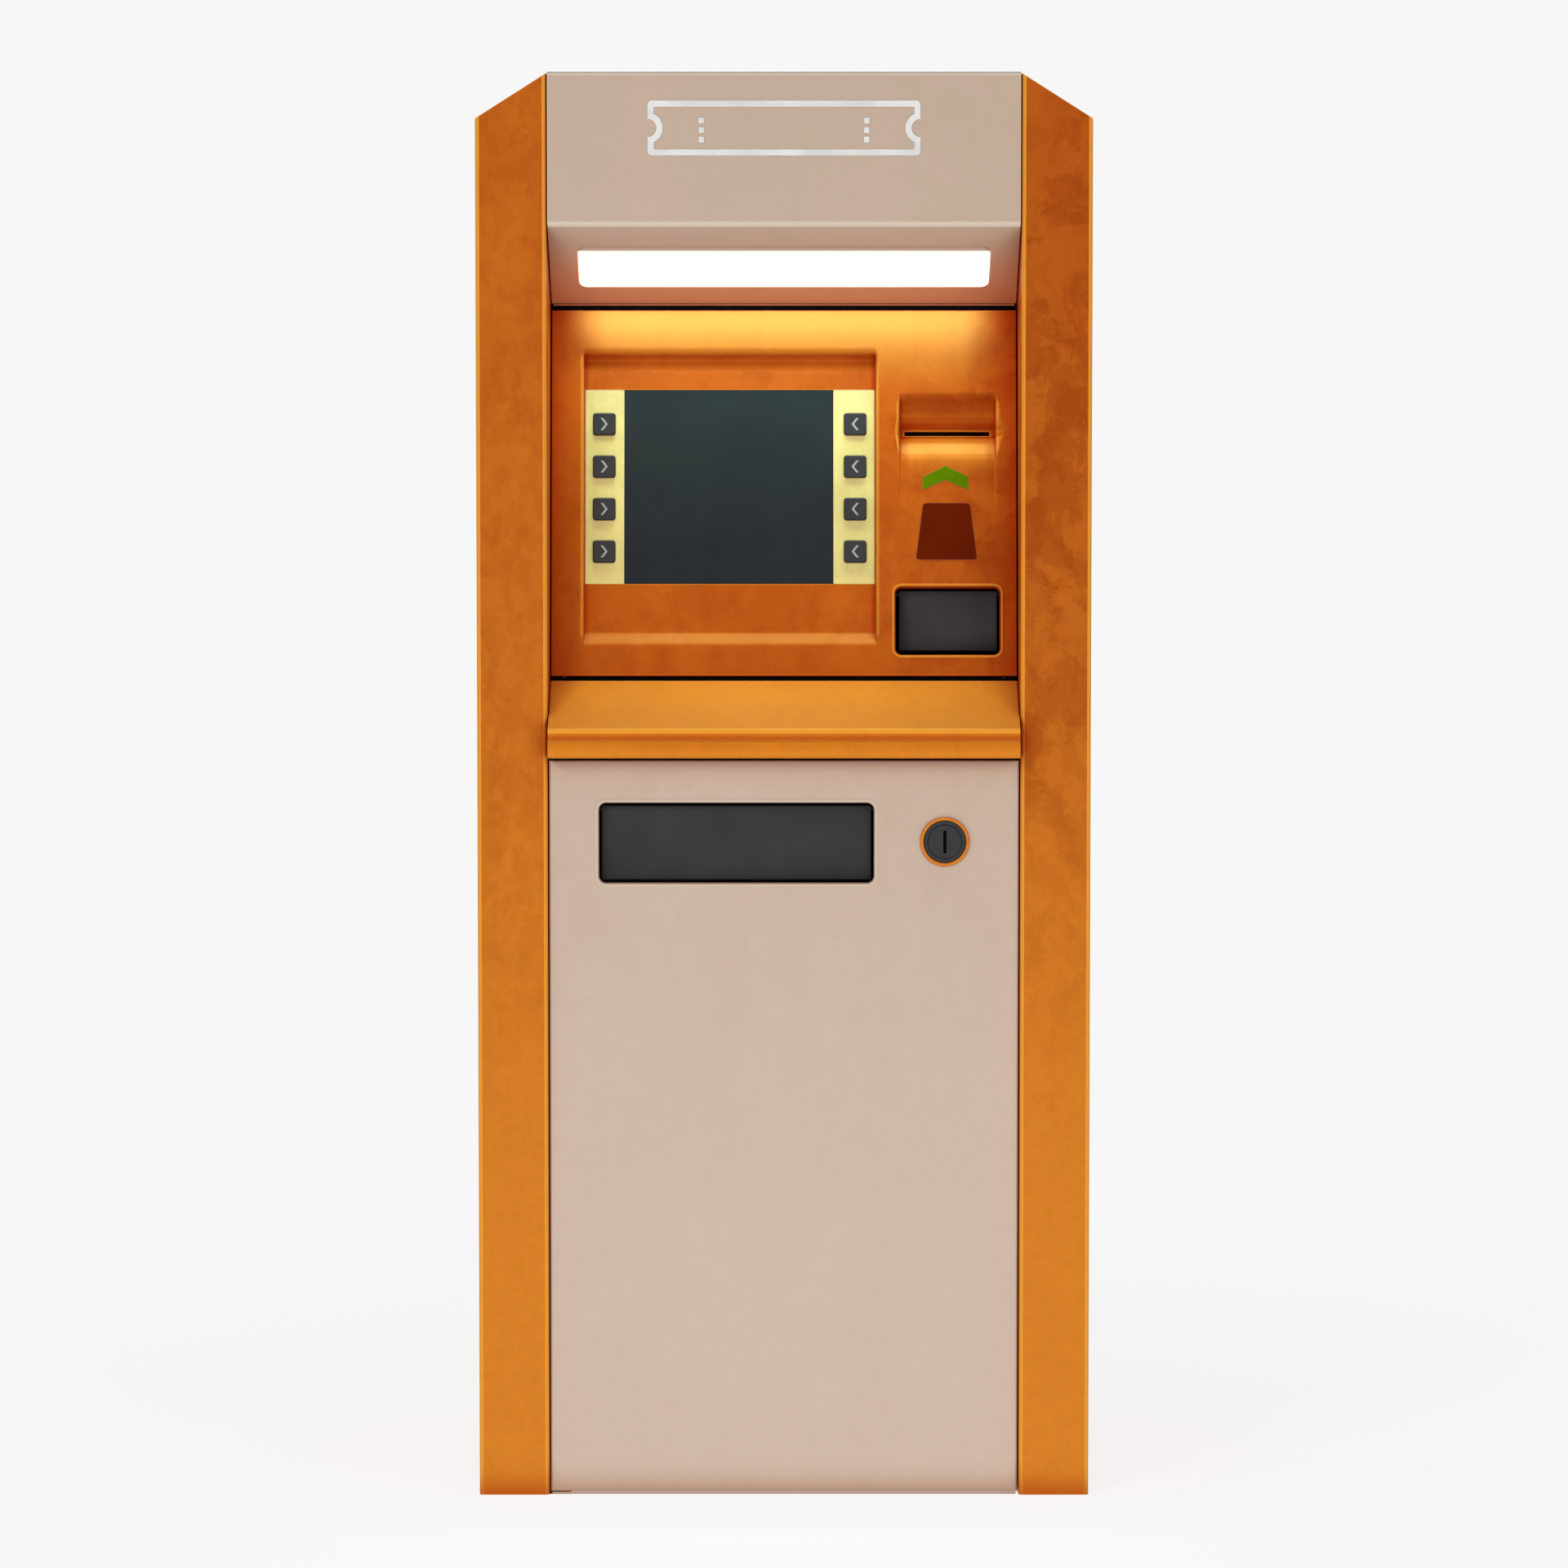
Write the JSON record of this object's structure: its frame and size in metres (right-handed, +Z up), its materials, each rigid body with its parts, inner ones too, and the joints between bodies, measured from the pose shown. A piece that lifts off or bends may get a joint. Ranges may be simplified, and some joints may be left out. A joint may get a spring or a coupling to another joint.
{
  "type": "ticket machine",
  "caption": "Floor-standing ticket machine with lit header, screen and side keys, ticket slot, receipt flap, sloping shelf, and a hinged lockable service door with a collection flap.",
  "frame": {"origin": "bottom centre of the cabinet's box, on the floor", "axes": "+Z up, front faces -Y, +X to the viewer's right"},
  "size_m": [0.688, 0.566, 1.6],
  "materials": {
    "orange_paint": "satin orange enamel with faint mottling",
    "orange_trim": "satin moulded trim in the cabinet's orange",
    "beige_paint": "satin warm beige enamel",
    "zinc_steel": "zinc-plated sheet, dull",
    "screw_steel": "machined steel",
    "lock_metal": "black satin coating over brass",
    "equipment_case": null,
    "light_print": "light grey cut vinyl",
    "white_sheet": "matte white reflector",
    "circuit_board": "green solder mask",
    "opal_lens": "opal diffuser, lit from behind",
    "screen_glass": "anti-glare dark glass",
    "yellow_strip": "pale yellow printed strip",
    "key_plastic": "dark grey moulded keys with light legends",
    "green_print": "green cut vinyl",
    "maroon_print": "dark red cut vinyl",
    "dark_plastic": "dark grey, fine grain",
    "grey_plastic": "grey moulding",
    "rubber": "black EPDM",
    "paper": "thermal paper, wound",
    "cable": "black sheath"
  },
  "bodies": {
    "cabinet": {"base_plate": "zinc_steel", "frame_posts": "zinc_steel", "frame_rails": "zinc_steel", "equipment_shelf": "zinc_steel", "left_cheek": "orange_paint", "right_cheek": "orange_paint", "top_panel": "beige_paint", "rear_panel": "beige_paint", "rear_screws": "screw_steel", "header_cover": "beige_paint", "header_pictogram": "light_print", "light_tray": "white_sheet", "led_board": "circuit_board", "light_lens": "opal_lens", "fascia": "orange_paint", "display_glass": "screen_glass", "display_module": "equipment_case", "key_strips": "yellow_strip", "key_boards": "circuit_board", "slot_bezel": "orange_trim", "ticket_reader": "equipment_case", "insert_arrow": "green_print", "card_label": "maroon_print", "receipt_flap_pin": "screw_steel", "receipt_bin": "dark_plastic", "receipt_printer": "grey_plastic", "shelf": "orange_paint", "door_surround": "zinc_steel", "door_hinges": "zinc_steel", "ticket_chute": "zinc_steel", "ticket_printer": "grey_plastic", "computer_box": "equipment_case", "power_supply": "equipment_case", "terminal_box": "grey_plastic", "fan_frame": "dark_plastic", "wiring_loom": "cable"},
    "key_left_1": {"key_left_1": "key_plastic"},
    "key_left_2": {"key_left_2": "key_plastic"},
    "key_left_3": {"key_left_3": "key_plastic"},
    "key_left_4": {"key_left_4": "key_plastic"},
    "key_right_1": {"key_right_1": "key_plastic"},
    "key_right_2": {"key_right_2": "key_plastic"},
    "key_right_3": {"key_right_3": "key_plastic"},
    "key_right_4": {"key_right_4": "key_plastic"},
    "service_door": {"service_door": "beige_paint", "door_stiffeners": "zinc_steel", "door_gasket": "rubber", "ticket_flap_pin": "screw_steel", "ticket_tray": "dark_plastic", "lock_ring": "orange_trim", "lock_body": "lock_metal"},
    "ticket_flap": {"ticket_flap": "dark_plastic"},
    "receipt_flap": {"receipt_flap": "dark_plastic"},
    "lock": {"lock_plug": "lock_metal", "lock_cam": "zinc_steel"},
    "feed_roller": {"feed_roller": "rubber"},
    "receipt_roll": {"receipt_roll": "paper"},
    "platen_roller": {"platen_roller": "rubber"},
    "ticket_roll": {"ticket_roll": "paper"},
    "fan_rotor": {"fan_rotor": "dark_plastic"}
  },
  "joints": [
    {"name": "press_key_left_1", "type": "slide", "parent": "cabinet", "child": "key_left_1", "axis": [0, 0.9903, -0.1392], "range_m": [0, 0.002], "stiffness_N_per_m": 400, "springref_m": -0.0008},
    {"name": "press_key_left_2", "type": "slide", "parent": "cabinet", "child": "key_left_2", "axis": [0, 0.9903, -0.1392], "range_m": [0, 0.002], "stiffness_N_per_m": 400, "springref_m": -0.0008},
    {"name": "press_key_left_3", "type": "slide", "parent": "cabinet", "child": "key_left_3", "axis": [0, 0.9903, -0.1392], "range_m": [0, 0.002], "stiffness_N_per_m": 400, "springref_m": -0.0008},
    {"name": "press_key_left_4", "type": "slide", "parent": "cabinet", "child": "key_left_4", "axis": [0, 0.9903, -0.1392], "range_m": [0, 0.002], "stiffness_N_per_m": 400, "springref_m": -0.0008},
    {"name": "press_key_right_1", "type": "slide", "parent": "cabinet", "child": "key_right_1", "axis": [0, 0.9903, -0.1392], "range_m": [0, 0.002], "stiffness_N_per_m": 400, "springref_m": -0.0008},
    {"name": "press_key_right_2", "type": "slide", "parent": "cabinet", "child": "key_right_2", "axis": [0, 0.9903, -0.1392], "range_m": [0, 0.002], "stiffness_N_per_m": 400, "springref_m": -0.0008},
    {"name": "press_key_right_3", "type": "slide", "parent": "cabinet", "child": "key_right_3", "axis": [0, 0.9903, -0.1392], "range_m": [0, 0.002], "stiffness_N_per_m": 400, "springref_m": -0.0008},
    {"name": "press_key_right_4", "type": "slide", "parent": "cabinet", "child": "key_right_4", "axis": [0, 0.9903, -0.1392], "range_m": [0, 0.002], "stiffness_N_per_m": 400, "springref_m": -0.0008},
    {"name": "door_swing", "type": "hinge", "parent": "cabinet", "child": "service_door", "pos_m": [-0.259, -0.248, 0.417], "axis": [0, 0, -1], "range_deg": [0, 90]},
    {"name": "ticket_flap_swing", "type": "hinge", "parent": "service_door", "child": "ticket_flap", "pos_m": [-0.053, -0.234, 0.776], "axis": [1, 0, 0], "range_deg": [0, 65]},
    {"name": "lock_turn", "type": "hinge", "parent": "service_door", "child": "lock", "pos_m": [0.1805, -0.235, 0.7406], "axis": [0, -1, 0], "range_deg": [0, 90]},
    {"name": "receipt_flap_swing", "type": "hinge", "parent": "cabinet", "child": "receipt_flap", "pos_m": [0.1864, -0.14575, 1.01344], "axis": [1, 0, 0], "range_deg": [0, 60]},
    {"name": "feed_roller_turn", "type": "hinge", "parent": "cabinet", "child": "feed_roller", "pos_m": [0.1852, -0.07225, 1.19871], "axis": [1, 0, 0], "continuous": true},
    {"name": "receipt_roll_turn", "type": "hinge", "parent": "cabinet", "child": "receipt_roll", "pos_m": [0.1855, 0.02313, 1.06544], "axis": [1, 0, 0], "continuous": true},
    {"name": "platen_turn", "type": "hinge", "parent": "cabinet", "child": "platen_roller", "pos_m": [0, -0.1, 0.826], "axis": [1, 0, 0], "continuous": true},
    {"name": "ticket_roll_turn", "type": "hinge", "parent": "cabinet", "child": "ticket_roll", "pos_m": [0, 0.12, 0.882], "axis": [1, 0, 0], "continuous": true},
    {"name": "fan_spin", "type": "hinge", "parent": "cabinet", "child": "fan_rotor", "pos_m": [0, 0.258, 1.42], "axis": [0, 1, 0], "continuous": true}
  ]
}
